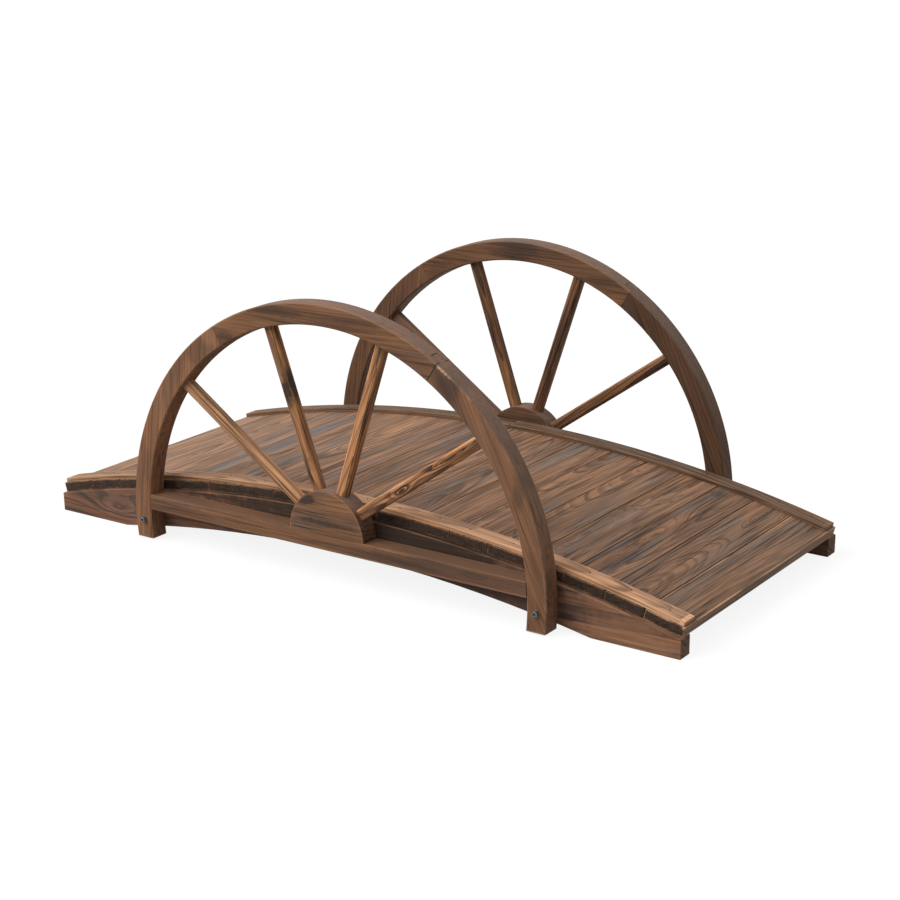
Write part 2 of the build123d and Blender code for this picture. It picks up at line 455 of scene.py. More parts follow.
# Finishes: display colours, how strong each feature is, and ranges in metres
FINISHES = {
    "deck": dict(
        Early=srgb(134, 101, 77), Late=srgb(64, 46, 37), Warm=srgb(154, 110, 78),
        Dark=srgb(62, 50, 44), Grey=srgb(99, 91, 85), Worn=srgb(176, 126, 86),
        End=srgb(54, 41, 32), Rings=0.82, Streaks=0.8, Lines=0.6, Warmth=0.5, Smoke=0.45,
        Greying=0.6, Wear=0.32, Wear_Width=0.0028, End_Share=0.94,
        ring_width=(0.0020, 0.0034), wander=(0.006, 0.016),
    ),
    "strip": dict(
        Early=srgb(160, 122, 94), Late=srgb(92, 64, 46), Warm=srgb(178, 130, 94),
        Dark=srgb(88, 64, 50), Grey=srgb(118, 99, 86), Worn=srgb(202, 156, 116),
        End=srgb(140, 104, 76), Rings=0.9, Streaks=0.75, Lines=0.45, Warmth=0.5, Smoke=0.35,
        Greying=0.2, Wear=0.75, Wear_Width=0.0034, End_Share=0.6,
        ring_width=(0.0035, 0.006), wander=(0.004, 0.01),
    ),
    "beam": dict(
        Early=srgb(128, 90, 67), Late=srgb(70, 49, 38), Warm=srgb(146, 98, 69),
        Dark=srgb(50, 38, 30), Grey=srgb(84, 74, 70), Worn=srgb(160, 114, 80),
        End=srgb(90, 72, 58), Rings=0.75, Streaks=0.5, Lines=0.3, Warmth=0.5, Smoke=0.7,
        Greying=0.3, Wear=0.4, Wear_Width=0.0026, End_Share=0.8,
        ring_width=(0.005, 0.008), wander=(0.015, 0.035),
    ),
    "wheel": dict(
        Early=srgb(124, 87, 61), Late=srgb(80, 55, 40), Warm=srgb(144, 98, 65),
        # Painted light: the upper faces of the wheels go paler and greyer
        Pale=srgb(128, 108, 96), Bleach=0.45, Seam_Depth=0.75,
        Dark=srgb(60, 45, 37), Grey=srgb(92, 76, 65), Worn=srgb(156, 112, 80),
        End=srgb(84, 60, 44), Rings=0.45, Streaks=0.55, Lines=0.42, Warmth=0.5, Smoke=0.7,
        Greying=0.35, Wear=0.45, Wear_Width=0.0034, End_Share=0.6,
        ring_width=(0.0045, 0.0075), wander=(0.008, 0.02),
    ),
    "spoke": dict(
        Early=srgb(142, 98, 65), Late=srgb(62, 43, 33), Warm=srgb(178, 120, 74),
        Dark=srgb(52, 39, 32), Grey=srgb(92, 80, 72), Worn=srgb(206, 152, 106),
        End=srgb(84, 60, 44), Rings=1.0, Streaks=0.9, Lines=0.7, Warmth=0.5, Smoke=0.7,
        Greying=0.2, Wear=0.9, Wear_Width=0.0046, End_Share=0.6,
        ring_width=(0.0032, 0.0048), wander=(0.003, 0.008),
    ),
}
SHADED = ("Early", "Late", "Warm", "Grey", "Worn")
SHADE_RANGE = (0.92, 1.1)
SHIFT_MOST = 30


def middle_of(name):
    low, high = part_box(name)
    return (low + high) / 2


def size_of(name):
    low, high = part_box(name)
    return high - low


# Deck arc and boards, read from the frame
BOARD_COUNT = sum(1 for name in NODES if name.startswith("board_"))
first_middle = middle_of("board_01")
crown_middle = middle_of(f"board_{BOARD_COUNT // 2:02d}")
square_gap = first_middle.x**2 + first_middle.z**2 - crown_middle.x**2 - crown_middle.z**2
DECK_CENTRE_Z = square_gap / (2 * (first_middle.z - crown_middle.z))


def board_outward(name):
    """Unit vector square to a board's top."""
    middle = middle_of(name)
    return Vector((middle.x, 0, middle.z - DECK_CENTRE_Z)).normalized()


outward = board_outward("board_01")
extent = size_of("board_01")
double_cosine = outward.z**2 - outward.x**2
BOARD_WIDTH = (extent.x * outward.z - extent.z * abs(outward.x)) / double_cosine
BOARD_THICKNESS = (extent.z * outward.z - extent.x * abs(outward.x)) / double_cosine
BOARD_LENGTH = extent.y
SEAT_RADIUS = hypot(first_middle.x, first_middle.z - DECK_CENTRE_Z) - BOARD_THICKNESS / 2

# Wheels, read from the frame
RIM_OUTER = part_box("rim_front_right")[1].x
RIM_CENTRE_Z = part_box("rim_front_top")[1].z - RIM_OUTER
rail_low, rail_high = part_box("rail_front")
RIM_INNER = hypot(rail_high.x, rail_low.z - RIM_CENTRE_Z)
HUB_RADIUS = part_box("hub_front")[1].x
HUB_CENTRE_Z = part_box("hub_front")[0].z
WHEEL_THICKNESS = size_of("rail_front").y

# Rim joints: angle from straight up, and the tongue in the middle of the thickness
RIM_JOINT = radians(32)
TONGUE_ANGLE = radians(2.5)
TONGUE_HALF = 0.008

# Spokes: half their width in the plane of the wheel and half their thickness
SPOKE_COUNT = 4
SPOKE_HALF = (FAR, 0.0105, 0.0095)

# Which way the grain runs in each piece of a rim
RIM_GRAINS = {
    "left": Vector((0.12, 0, 1)).normalized(),
    "top": X_AXIS,
    "right": Vector((-0.42, 0, 0.9)).normalized(),
}

# Where marks lie across the bridge: on the outside of the near wheel and beam, in the near
# spokes, and on the inside of the far wheel
NEAR_FACE = rail_low.y
NEAR_BEAM_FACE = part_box("beam_front")[0].y
NEAR_SPOKES = -0.306
FAR_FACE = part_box("rail_back")[0].y

# From the left end of the deck to the right, and of each side's wheel; the back side is painted
# darker, as painted shade
BOARD_SHADES = (1.27, 0.90)
BOARD_GREYING = (0.75, 0.40)
BOARD_WARMTH = (0.35, 0.55)
SIDE_SHADES = {"front": 1.0, "back": 0.72}
STRIPS = ("front_left", "front_right", "back_left", "back_right")

# Marks of single pieces. The stain and chip marks, painted shade and painted highlights among them,
# have a middle, half sizes and a share, in the frame's coordinates. Knots have a middle, half sizes
# and a lift, along, across and up.
MARKS = {
    "board_05": dict(Greying=0.95, Grey=srgb(98, 93, 91)),
    "board_12": dict(Greying=0.85),
    "board_13": dict(Greying=0.85, stains=(((0.226, 0.166, 0.124), (0.03, 0.05, 0.03), 0.5),)),
    "board_15": dict(knots=(((-0.12, 0.020, 0.012), (0.075, 0.014, 0.012), 0.022),), Wander=0.028),
    "board_16": dict(
        knots=(
            ((-0.03, 0.010, 0.012), (0.09, 0.014, 0.012), 0.026),
            ((0.216, 0.018, 0.009), (0.02, 0.009, 0.02), 0.014),
        ),
        Greying=0.9,
        stains=(
            ((0.478, -0.178, 0.09), (0.016, 0.06, 0.03), 0.5),
            ((0.462, 0.216, 0.09), (0.016, 0.022, 0.03), 0.6),
        ),
    ),
    "board_17": dict(knots=(((0.20, 0.0, 0.014), (0.06, 0.014, 0.012), -0.02),)),
    "board_18": dict(
        Wear=0.8, Worn=srgb(206, 164, 124),
        chips=(((0.661, -0.286, 0.051), (0.006, 0.011, 0.006), 0.9),),
    ),
    "strip_front_left": dict(shade=0.87, Greying=0.0),
    "strip_front_right": dict(shade=1.22),
    # Painted shade: the far strips much darker than the near ones
    "strip_back_left": dict(shade=0.4),
    "strip_back_right": dict(shade=0.36),
    "beam_front": dict(
        shade=1.02, Rings=0.95, Smoke=0.3, Ring_Width=0.011, Wander=0.004, Late=srgb(54, 44, 41),
        Warm=srgb(150, 96, 68), knots=(((-0.51, 0.012, -0.030), (0.075, 0.03, 0.022), 0.09),),
        stains=(
            # Painted shade on the beam's face under the deck, between the legs
            ((0.05, NEAR_BEAM_FACE, 0.10), (0.5, FAR, 0.09), 1.0),
            ((0.457, NEAR_BEAM_FACE, 0.027), (0.02, FAR, 0.008), 0.8),
            ((-0.60, NEAR_BEAM_FACE, 0.02), (0.06, FAR, 0.05), 0.3),
        ),
        chips=(
            ((0.585, NEAR_BEAM_FACE, 0.0015), (0.035, FAR, 0.003), 0.7),
            ((0.57, NEAR_BEAM_FACE, 0.02), (0.10, FAR, 0.05), 0.42),
        ),
    ),
    # Painted shade: the back beam darker than the front one
    "beam_back": dict(shade=0.8),
    "rim_front_left": dict(
        shade=1.12, Rings=0.4, Streaks=0.45, Smoke=0.45,
        stains=(
            ((-0.27, NEAR_FACE, 0.372), (0.035, FAR, 0.035), 0.35),
            ((-0.405, NEAR_FACE, 0.145), (0.016, FAR, 0.05), 0.25),
        ),
        chips=(((-0.238, NEAR_FACE, 0.40), (0.02, FAR, 0.022), 0.4),),
    ),
    "rim_front_top": dict(
        shade=1.0, Rings=0.25, Streaks=0.42, Smoke=0.75, Warmth=0.7,
        stains=(
            ((-0.203, NEAR_FACE, 0.40), (0.03, FAR, 0.016), 0.6),
            ((-0.10, NEAR_FACE, 0.462), (0.075, FAR, 0.012), 0.6),
            ((0.06, NEAR_FACE, 0.462), (0.09, FAR, 0.008), 0.4),
        ),
    ),
    "rim_front_right": dict(
        shade=1.05, Rings=0.35, Streaks=0.48, Smoke=0.6,
        stains=(
            ((0.256, NEAR_FACE, 0.383), (0.032, FAR, 0.032), 0.6),
            ((0.385, NEAR_FACE, 0.23), (0.012, FAR, 0.04), 0.45),
            # Darker towards the foot of the leg
            ((0.42, NEAR_FACE, 0.06), (0.05, FAR, 0.09), 0.3),
        ),
        Worn=srgb(196, 154, 126), Wear=0.35,
        # Painted highlight: a cream line along the chamfer beside the joint
        chips=(
            ((0.239, NEAR_FACE, 0.413), (0.006, 0.0022, 0.005), 0.9),
            ((0.245, NEAR_FACE, 0.409), (0.006, 0.0022, 0.005), 0.9),
            ((0.251, NEAR_FACE, 0.405), (0.006, 0.0022, 0.005), 0.9),
            ((0.257, NEAR_FACE, 0.401), (0.006, 0.0022, 0.005), 0.6),
        ),
    ),
    # Painted shade: the far wheel's pieces darker still, its right leg most
    "rim_back_left": dict(
        shade=0.68, Rings=0.3, Smoke=0.9, chips=(((-0.23, FAR_FACE, 0.40), (0.014, FAR, 0.018), 0.4),),
    ),
    "rim_back_top": dict(
        shade=0.74, Rings=0.3, Smoke=0.9, Seam_Depth=0.3,
        stains=(
            ((-0.19, FAR_FACE, 0.415), (0.04, FAR, 0.012), 0.5),
            ((-0.02, FAR_FACE, 0.465), (0.06, FAR, 0.02), 0.4),
            ((0.17, FAR_FACE, 0.43), (0.05, FAR, 0.014), 0.4),
        ),
    ),
    "rim_back_right": dict(shade=0.44, Smoke=0.5, Seam_Depth=0.3),
    "rail_front": dict(
        # Painted shade: the top of the front rail goes darker
        shade=1.04, Pale=srgb(98, 72, 56), Bleach=0.6,
        stains=(
            ((0.30, NEAR_FACE, 0.08), (0.24, FAR, 0.06), 0.5),
            ((0.154, NEAR_FACE, 0.095), (0.03, FAR, 0.012), 0.6),
            ((0.30, NEAR_FACE, 0.077), (0.05, FAR, 0.012), 0.65),
            ((-0.33, NEAR_FACE, 0.085), (0.06, FAR, 0.006), 0.45),
        ),
    ),
    "hub_front": dict(
        shade=1.0, Greying=0.5, Smoke=0.7, Ring_Width=0.009, Wander=0.04,
        stains=(
            ((-0.043, NEAR_FACE, 0.145), (0.03, FAR, 0.012), 1.0),
            ((0.005, NEAR_FACE, 0.108), (0.09, FAR, 0.007), 0.9),
        ),
    ),
    "spoke_back_1": dict(
        shade=0.95, Early=srgb(112, 84, 66), Warmth=0.0, Rings=0.3, Streaks=0.5, Lines=0.3,
        Smoke=0.2, Greying=0.7, Grey=srgb(96, 78, 68), Worn=srgb(124, 96, 76), Wear=0.3,
    ),
    "spoke_front_1": dict(shade=1.25, Early=srgb(164, 120, 86), Smoke=0.15, Rings=0.7, Lines=0.9),
    "spoke_front_2": dict(
        shade=1.15, Smoke=0.9, Worn=srgb(214, 150, 84),
        stains=(
            ((-0.075, NEAR_SPOKES, 0.33), (0.02, FAR, 0.035), 1.0),
            ((-0.045, NEAR_SPOKES, 0.18), (0.014, FAR, 0.05), 0.6),
        ),
    ),
    "spoke_front_3": dict(shade=1.4, Smoke=0.5, Rings=0.8, Lines=0.9),
    "spoke_front_4": dict(
        shade=1.25, Warm=srgb(206, 132, 68), Warmth=0.95, Late=srgb(46, 33, 26), Streaks=1.0,
        Ring_Width=0.0055, Wander=0.016,
        knots=(
            ((-0.041, 0.002, -0.0095), (0.026, 0.007, 0.012), 0.016),
            ((0.08, -0.002, -0.0095), (0.05, 0.005, 0.012), 0.014),
        ),
    ),
}


def turned_place(g, here, middle, axis, up):
    """Coordinates from a piece's middle: along its grain, across it and up."""
    across = up.cross(axis).normalized()
    turn = Matrix((axis, across, axis.cross(across))).transposed()
    mapping = g.node("Mapping", vector_type="TEXTURE")
    g.put_all(mapping, {"Vector": here, "Location": middle, "Rotation": turn.to_euler("XYZ")})
    return mapping.outputs[0]


def round_y_axis(g, here, centre_z):
    """Radius and angle about an axis along Y; the angle is 0 straight up."""
    x, y, z = g.split(here)
    rise = g.math("SUBTRACT", z, centre_z)
    radius = g.math("SQRT", g.math("MULTIPLY_ADD", x, x, g.math("MULTIPLY", rise, rise)))
    return radius, g.math("ARCTAN2", x, rise), y, z


def inside(g, value, middle, half):
    """Distance in from both ends of a range."""
    return g.math("SUBTRACT", half, g.math("ABSOLUTE", g.math("SUBTRACT", value, middle)))


# Each function below is for one shape of piece. What it returns builds the place in the
# wood, the gaps in from the faces and the gap to a joint.


def straight_place(name, axis, up, half):
    """Board, rail or spoke; half is its half sizes along, across and up."""

    def build(g, here):
        place = turned_place(g, here, middle_of(name), axis, up)
        return place, g.vector("SUBTRACT", half, g.vector("ABSOLUTE", place)), FAR

    return build


def strip_radius(name):
    """Radius of a strip's top about the deck's centre."""
    low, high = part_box(name)
    return hypot(min(abs(low.x), abs(high.x)), high.z - DECK_CENTRE_Z)


def bent_place(name):
    """Edge strip, with its grain bent round the deck's arc."""
    middle = middle_of(name)
    half = size_of(name) / 2
    radius = strip_radius(name)
    half_thickness = (radius - SEAT_RADIUS - BOARD_THICKNESS) / 2

    def build(g, here):
        r, angle, y, _ = round_y_axis(g, here, DECK_CENTRE_Z)
        along = g.math("MULTIPLY", angle, radius)
        place = g.join(along, g.math("SUBTRACT", y, middle.y), g.math("SUBTRACT", r, radius))
        end_gap = inside(g, along, middle.x, half.x)
        side_gap = inside(g, y, middle.y, half.y)
        depth_gap = inside(g, r, radius - half_thickness, half_thickness)
        return place, g.join(end_gap, side_gap, depth_gap), FAR

    return build


def rim_place(name, axis):
    """Piece of a rim: straight grain, wear along its round edges, a tongue joint at one end."""
    middle = middle_of(name)
    foot_z = -FAR if name.endswith("top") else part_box(name)[0].z

    def build(g, here):
        place = turned_place(g, here, middle, axis, Y_AXIS)
        radius, angle, y, z = round_y_axis(g, here, RIM_CENTRE_Z)
        depth_gap = inside(g, radius, (RIM_INNER + RIM_OUTER) / 2, (RIM_OUTER - RIM_INNER) / 2)
        side_gap = inside(g, y, middle.y, WHEEL_THICKNESS / 2)
        from_middle = g.math("ABSOLUTE", g.math("SUBTRACT", y, middle.y))
        in_tongue = g.math("LESS_THAN", from_middle, TONGUE_HALF)
        joint = g.math("MULTIPLY_ADD", in_tongue, -TONGUE_ANGLE, RIM_JOINT)
        from_joint = g.math("ABSOLUTE", g.math("SUBTRACT", angle, joint))
        gaps = g.join(g.math("SUBTRACT", z, foot_z), side_gap, depth_gap)
        return place, gaps, g.math("MULTIPLY", from_joint, RIM_OUTER)

    return build


def hub_place(name):
    """Half round hub: level grain, wear round its outline."""
    middle = middle_of(name)

    def build(g, here):
        place = turned_place(g, here, middle, X_AXIS, Z_AXIS)
        r, _, y, _ = round_y_axis(g, here, HUB_CENTRE_Z)
        side_gap = inside(g, y, middle.y, WHEEL_THICKNESS / 2)
        return place, g.join(FAR, side_gap, g.math("SUBTRACT", HUB_RADIUS, r)), FAR

    return build


def beam_place(name):
    """Side beam: level grain, wear along its top and underside."""
    middle = middle_of(name)
    half = size_of(name) / 2

    def build(g, here):
        place = turned_place(g, here, middle, X_AXIS, Z_AXIS)
        r, _, y, z = round_y_axis(g, here, DECK_CENTRE_Z)
        end_gap = inside(g, g.split(here)[0], 0, half.x)
        side_gap = inside(g, y, middle.y, half.y)
        height_gap = g.math("MINIMUM", g.math("SUBTRACT", SEAT_RADIUS, r), z)
        return place, g.join(end_gap, side_gap, height_gap), FAR

    return build


def new_material(name):
    """Material, the graph of its nodes and its shader."""
    material = bpy.data.materials.new(name)
    material.use_nodes = True
    tree = material.node_tree
    return material, Graph(tree), tree.nodes["Principled BSDF"]


def wood_settings(name, finish, axis, changes):
    """Values of one piece's wood: drawn by chance, then its finish, then its own changes."""
    dice = random.Random(name)
    looks = FINISHES[finish]
    settings = {
        "Shift": tuple(dice.uniform(-SHIFT_MOST, SHIFT_MOST) for _ in range(3)),
        "Pith": (0, dice.uniform(-0.04, 0.04), -dice.uniform(0.03, 0.10)),
        "Lean": (0, dice.uniform(-0.02, 0.02), dice.uniform(-0.06, 0.06)),
        "Axis": tuple(axis),
        "Ring Width": dice.uniform(*looks["ring_width"]),
        "Wander": dice.uniform(*looks["wander"]),
    }
    shade = changes.get("shade", 1.0) * dice.uniform(*SHADE_RANGE)
    chosen = {key: value for key, value in (looks | changes).items() if key[0].isupper()}
    settings |= {key.replace("_", " "): value for key, value in chosen.items()}
    for key in SHADED:
        settings[key] = (*[channel * shade for channel in settings[key][:3]], 1.0)
    return settings


def add_marks(g, wood, place, here, changes):
    """Puts the knots, stain marks and chip marks of one piece on its wood, with painted shade and
    painted highlights among them.
    """
    totals = {}
    for centre, size, lift in changes.get("knots", ()):
        knot = g.node("Group", node_tree=KNOT)
        g.put_all(knot, {"Place": place, "Centre": centre, "Size": size, "Lift": lift})
        for key in ("Knot Lift", "Knot"):
            part = knot.outputs[key]
            totals[key] = g.math("ADD", totals[key], part) if key in totals else part
    for key, kind in (("Stain", "stains"), ("Chip", "chips")):
        for centre, size, share in changes.get(kind, ()):
            spot = g.node("Group", node_tree=SPOT)
            g.put_all(spot, {"Here": here, "Centre": centre, "Size": size, "Share": share})
            part = spot.outputs[0]
            totals[key] = g.math("MAXIMUM", totals[key], part) if key in totals else part
    g.put_all(wood, totals)


def wood_material(name, finish, axis, coordinates, changes):
    """Wood whose grain runs along axis; coordinates builds its place, gaps and seam."""
    material, g, shader = new_material("wood_" + name)
    here = g.node("TexCoord").outputs["Object"]
    place, gaps, seam = coordinates(g, here)
    wood = g.node("Group", node_tree=WOOD)
    g.put_all(wood, wood_settings(name, finish, axis, changes))
    g.put_all(wood, {"Place": place, "Gaps": gaps, "Seam": seam})
    add_marks(g, wood, place, here, changes)
    bump = g.node("Bump")
    g.put_all(bump, {"Strength": 0.6, "Distance": 0.0008, "Height": wood.outputs["Height"]})
    g.put_all(shader, {
        "Base Color": wood.outputs["Color"],
        "Roughness": wood.outputs["Roughness"],
        "Normal": bump.outputs[0],
        "Specular IOR Level": 0.2,
    })
    return material


def make_smooth_group():
    """Geometry nodes that mark every face and edge smooth."""
    tree = bpy.data.node_groups.new("smooth_faces", "GeometryNodeTree")
    for way in ("INPUT", "OUTPUT"):
        tree.interface.new_socket("Geometry", in_out=way, socket_type="NodeSocketGeometry")
    last = tree.nodes.new("NodeGroupInput").outputs[0]
    for domain in ("FACE", "EDGE"):
        step = tree.nodes.new("GeometryNodeSetShadeSmooth")
        step.domain = domain
        tree.links.new(last, step.inputs[0])
        last = step.outputs[0]
    tree.links.new(last, tree.nodes.new("NodeGroupOutput").inputs[0])
    return tree


SMOOTH = make_smooth_group()


def ease_edges(piece, width):
    """Rounds the sharp edges of a piece by modifiers."""
    weld = piece.modifiers.new("weld", "WELD")
    weld.merge_threshold = WELD_DISTANCE
    smooth = piece.modifiers.new("smooth", "NODES")
    smooth.node_group = SMOOTH
    bevel = piece.modifiers.new("ease", "BEVEL")
    bevel.width = width
    bevel.segments = EASE_STEPS
    bevel.limit_method = "ANGLE"
    bevel.angle_limit = SHARP_ANGLE
    bevel.use_clamp_overlap = True
    normals = piece.modifiers.new("normals", "WEIGHTED_NORMAL")
    normals.keep_sharp = False
    normals.weight = 50


def finish_node(name, finish, axis, coordinates, ease=EDGE_EASE, **changes):
    """Paints one node and eases its edges; its own marks go over the changes given here."""
    changes |= MARKS.get(name, {})
    node = NODES[name]
    node.data.materials.clear()
    node.data.materials.append(wood_material(name, finish, axis, coordinates, changes))
    ease_edges(node, ease)


def between(ends, share):
    """Value part of the way from one end to the other."""
    return ends[0] + (ends[1] - ends[0]) * share


def finish_boards():
    """Deck boards, from light and grey on the left to darker and warmer on the right."""
    half = (BOARD_LENGTH / 2, BOARD_WIDTH / 2, BOARD_THICKNESS / 2)
    for number in range(1, BOARD_COUNT + 1):
        name = f"board_{number:02d}"
        share = (number - 1) / (BOARD_COUNT - 1)
        finish_node(
            name, "deck", Y_AXIS, straight_place(name, Y_AXIS, board_outward(name), half),
            shade=between(BOARD_SHADES, share),
            Greying=between(BOARD_GREYING, share),
            Warmth=between(BOARD_WARMTH, share),
        )


def finish_strips():
    """Edge strips, whose grain runs along the slope of the deck."""
    for place_name in STRIPS:
        name = "strip_" + place_name
        slope = Vector((1, 0, -middle_of(name).x / strip_radius(name))).normalized()
        finish_node(name, "strip", slope, bent_place(name), STRIP_EASE)


def finish_side(side, shade):
    """Beam and half wheel of one side."""
    name = f"beam_{side}"
    finish_node(name, "beam", X_AXIS, beam_place(name))
    for part, grain in RIM_GRAINS.items():
        name = f"rim_{side}_{part}"
        finish_node(name, "wheel", grain, rim_place(name, grain), RIM_EASE, shade=shade)
    name = f"rail_{side}"
    half = (FAR, WHEEL_THICKNESS / 2, size_of(name).z / 2)
    rail = straight_place(name, X_AXIS, Z_AXIS, half)
    finish_node(name, "wheel", X_AXIS, rail, shade=shade)
    name = f"hub_{side}"
    finish_node(name, "wheel", X_AXIS, hub_place(name), shade=shade)
    for number in range(1, SPOKE_COUNT + 1):
        name = f"spoke_{side}_{number}"
        middle = middle_of(name)
        direction = (middle - Vector((0, middle.y, HUB_CENTRE_Z))).normalized()
        spoke = straight_place(name, direction, Y_AXIS, SPOKE_HALF)
        finish_node(name, "spoke", direction, spoke, SPOKE_EASE, shade=shade)


# Bolts, nuts and nails, in metres
BOLT_X = 0.419
BOLT_Z = 0.037
HEAD_RADIUS = 0.0055
HEAD_HEIGHT = 0.0042
HEAD_ROUND = 0.0016
SOCKET_FLATS = 0.004
SOCKET_DEPTH = 0.0026
SOCKET_EASE = 0.0002
WASHER_RADIUS = 0.0068
WASHER_THICKNESS = 0.0012
WASHER_EASE = 0.0003
WASHER_FOOT_EASE = 0.0002
NUT_WASHER_RADIUS = 0.0078
NUT_FLATS = 0.010
NUT_HEIGHT = 0.005
NUT_EASE = 0.0005
NUT_EASE_HEIGHT = 0.0006
THREAD_RADIUS = 0.003
THREAD_LENGTH = 0.0027
THREAD_EASE = 0.0005
NAIL_RADIUS = 0.0017
NAIL_TAPER = 0.86
NAIL_HEIGHT = 0.0005
NAIL_SCATTER_ACROSS = 0.004
NAIL_SCATTER_ALONG = 0.008
NAIL_STEPS = 20
ROUND_STEPS = 48
SMOOTH_ANGLE = radians(30)


def steel_material(name, colour, low_rough, high_rough):
    """Dull plated steel with a mottled finish."""
    material, g, shader = new_material(name)
    here = g.node("TexCoord").outputs["Object"]
    mottle = g.noise(here, (900, 900, 900), 3, 0.6)
    wear = g.noise(here, (300, 300, 300), 2)
    tone = g.math("MULTIPLY_ADD", mottle, 0.5, g.swing(wear, 0.5))
    rough = g.node("MapRange")
    g.put_all(rough, {
        "Value": mottle, "From Min": -0.3, "From Max": 0.3, "To Min": low_rough, "To Max": high_rough,
    })
    bump = g.node("Bump")
    g.put_all(bump, {"Strength": 0.2, "Distance": 0.0001, "Height": mottle})
    g.put_all(shader, {
        "Base Color": g.vector("SCALE", colour, scale=tone),
        "Roughness": rough.outputs["Result"],
        "Normal": bump.outputs[0],
        "Metallic": 0.85,
    })
    return material


STEEL = steel_material("plated_steel", srgb(96, 93, 92)[:3], 0.26, 0.48)
BLACK_STEEL = steel_material("black_steel", srgb(58, 56, 55)[:3], 0.35, 0.6)


def hexagon(angle, flats):
    """Distance to a hexagon's side in the direction of an angle."""
    sixth = pi / 3
    return flats / 2 / cos((angle % sixth) - sixth / 2)


def ring_points(shape, radius, height):
    """Points round the Z axis; shape is round or hex, where radius is half the flats."""
    points = []
    for index in range(ROUND_STEPS):
        angle = 2 * pi * index / ROUND_STEPS
        reach = radius if shape == "round" else hexagon(angle, 2 * radius)
        points.append((reach * cos(angle), reach * sin(angle), height))
    return points


def turned_piece(name, rings, steel):
    """Closed piece of rings stacked along Z, with flat ends."""
    shape = bmesh.new()
    loops = [[shape.verts.new(point) for point in ring_points(*ring)] for ring in rings]
    for lower, upper in zip(loops, loops[1:]):
        for index in range(ROUND_STEPS):
            after = (index + 1) % ROUND_STEPS
            shape.faces.new((lower[index], lower[after], upper[after], upper[index]))
    shape.faces.new(reversed(loops[0]))
    shape.faces.new(loops[-1])
    bmesh.ops.recalc_face_normals(shape, faces=shape.faces)
    for face in shape.faces:
        face.smooth = len(face.verts) == 4
    for edge in shape.edges:
        edge.smooth = edge.calc_face_angle(0) < SMOOTH_ANGLE
    mesh = bpy.data.meshes.new(name)
    shape.to_mesh(mesh)
    shape.free()
    mesh.materials.append(steel)
    piece = bpy.data.objects.new(name, mesh)
    SCENE.collection.objects.link(piece)
    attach(piece, "root")
    return piece


def head_rings():
    """Bolt head on a washer, with a hexagon socket."""
    top = WASHER_THICKNESS + HEAD_HEIGHT
    rings = [
        ("round", WASHER_RADIUS - WASHER_FOOT_EASE, 0),
        ("round", WASHER_RADIUS, WASHER_EASE),
        ("round", WASHER_RADIUS, WASHER_THICKNESS - WASHER_EASE),
        ("round", WASHER_RADIUS - WASHER_EASE, WASHER_THICKNESS),
        ("round", HEAD_RADIUS, WASHER_THICKNESS),
        ("round", HEAD_RADIUS, top - HEAD_ROUND),
    ]
    for step in (30, 60, 90):
        reach = HEAD_RADIUS - HEAD_ROUND * (1 - cos(radians(step)))
        rings.append(("round", reach, top - HEAD_ROUND * (1 - sin(radians(step)))))
    socket = SOCKET_FLATS / 2
    rings.append(("hex", socket + SOCKET_EASE, top))
    rings.append(("hex", socket, top - SOCKET_EASE))
    rings.append(("hex", socket, top - SOCKET_DEPTH))
    return rings


def nut_rings():
    """Hexagon nut on a washer, with the bolt's end standing out of it."""
    top = WASHER_THICKNESS + NUT_HEIGHT
    flats = NUT_FLATS / 2
    return [
        ("round", NUT_WASHER_RADIUS, 0),
        ("round", NUT_WASHER_RADIUS, WASHER_THICKNESS - WASHER_EASE),
        ("round", NUT_WASHER_RADIUS - WASHER_EASE, WASHER_THICKNESS),
        ("hex", flats, WASHER_THICKNESS),
        ("hex", flats, top - NUT_EASE_HEIGHT),
        ("hex", flats - NUT_EASE, top),
        ("round", THREAD_RADIUS, top),
        ("round", THREAD_RADIUS, top + THREAD_LENGTH - THREAD_EASE),
        ("round", THREAD_RADIUS - THREAD_EASE, top + THREAD_LENGTH),
    ]


def put_in_leg(piece, place, facing, dice):
    """Turns a fastener by chance, lays it along Y and moves it to its place."""
    spin = Matrix.Rotation(dice.uniform(0, pi / 3), 4, "Z")
    lay = Vector((0, facing, 0)).to_track_quat("Z", "Y").to_matrix().to_4x4()
    piece.data.transform(Matrix.Translation(place) @ lay @ spin)


def add_bolts():
    """One bolt through each leg into the beam, with its nut inside."""
    for side, way in (("front", -1), ("back", 1)):
        outer_y = way * max(abs(corner.y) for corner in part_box(f"rail_{side}"))
        inner_y = way * min(abs(corner.y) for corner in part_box(f"beam_{side}"))
        for end, sign in (("left", -1), ("right", 1)):
            dice = random.Random(side + end)
            bolt = turned_piece(f"bolt_{side}_{end}", head_rings(), STEEL)
            put_in_leg(bolt, (sign * BOLT_X, outer_y, BOLT_Z), way, dice)
            nut = turned_piece(f"nut_{side}_{end}", nut_rings(), BLACK_STEEL)
            put_in_leg(nut, (sign * BOLT_X, inner_y, BOLT_Z), -way, dice)


